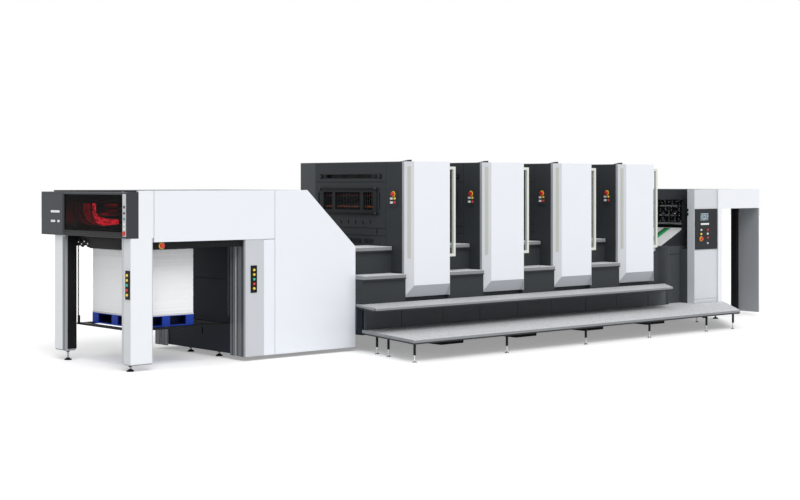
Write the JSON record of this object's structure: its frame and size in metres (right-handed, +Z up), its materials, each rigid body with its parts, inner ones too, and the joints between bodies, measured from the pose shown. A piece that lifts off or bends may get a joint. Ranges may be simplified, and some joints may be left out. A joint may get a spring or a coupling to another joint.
{
  "type": "offset printing press",
  "caption": "Sheet-fed offset printing press with a row of printing towers, a delivery pile at one end, a feeder at the other and a stepped walkway along the operator's side.",
  "frame": {"origin": "middle of the bounding box in plan, on the floor", "axes": "+X along the press from the delivery to the feeder, +Y away from the operator's walkway, +Z up"},
  "size_m": [9.959, 3.134, 2.11],
  "materials": {
    "white_paint": "satin",
    "light_grey_paint": "satin",
    "charcoal_paint": "satin",
    "dark_paint": "satin",
    "tread_metal": "embossed",
    "black_plastic": "matt",
    "rail_paint": "satin",
    "steel": "brushed",
    "roller_rubber": "smooth",
    "smoked_glass": "polished",
    "pallet_plastic": "moulded",
    "paper": "uncoated",
    "board_plastic": "smooth",
    "panel_grey": "satin",
    "pad_iron": "painted"
  },
  "bodies": {
    "press": {"unit_1_cover": "white_paint", "unit_2_cover": "white_paint", "unit_3_cover": "white_paint", "unit_4_cover": "white_paint", "delivery_upper_panels": "white_paint", "delivery_rear_panels": "white_paint", "delivery_near_post": "white_paint", "feeder_columns": "white_paint", "feeder_headers": "white_paint", "delivery_columns": "light_grey_paint", "delivery_far_post": "light_grey_paint", "control_cabinet": "light_grey_paint", "hood_switch_strip": "light_grey_paint", "unit_1_tower": "charcoal_paint", "unit_2_tower": "charcoal_paint", "unit_3_tower": "charcoal_paint", "unit_4_tower": "charcoal_paint", "drive_covers": "charcoal_paint", "delivery_hood": "charcoal_paint", "infeed_frames": "charcoal_paint", "feeder_roof": "charcoal_paint", "delivery_top_cover": "charcoal_paint", "roller_guards": "charcoal_paint", "tower_lugs": "charcoal_paint", "base_skirt": "charcoal_paint", "end_column": "charcoal_paint", "step_blocks": "charcoal_paint", "machine_base": "dark_paint", "delivery_body": "dark_paint", "delivery_upper_body": "dark_paint", "infeed_body": "dark_paint", "feeder_front_wall": "dark_paint", "delivery_post_guides": "dark_paint", "delivery_beams": "dark_paint", "feeder_guide_posts": "dark_paint", "running_board": "tread_metal", "walkway_platform": "tread_metal", "step_treads": "tread_metal", "button_stations": "black_plastic", "pile_buttons": "black_plastic", "hood_key_panel": "black_plastic", "control_console": "black_plastic", "grab_rails": "rail_paint", "cover_grips": "rail_paint", "suction_roller": "steel", "walkway_legs": "steel", "levelling_feet": "steel", "sheet_stops": "steel", "feeder_head": "steel", "gripper_wheels": "steel", "infeed_rollers": "steel", "ink_rollers": "roller_rubber", "delivery_window": "smoked_glass", "feed_board": "board_plastic", "feeder_end_panels": "panel_grey", "floor_pads": "pad_iron"},
    "pile": {"pile_board": "dark_paint", "hoist_chains": "steel", "pallet": "pallet_plastic", "paper_stack": "paper"}
  },
  "joints": [
    {"name": "pile_lift", "type": "slide", "parent": "press", "child": "pile", "axis": [0, 0, 1], "range_m": [-0.3, 0]}
  ]
}
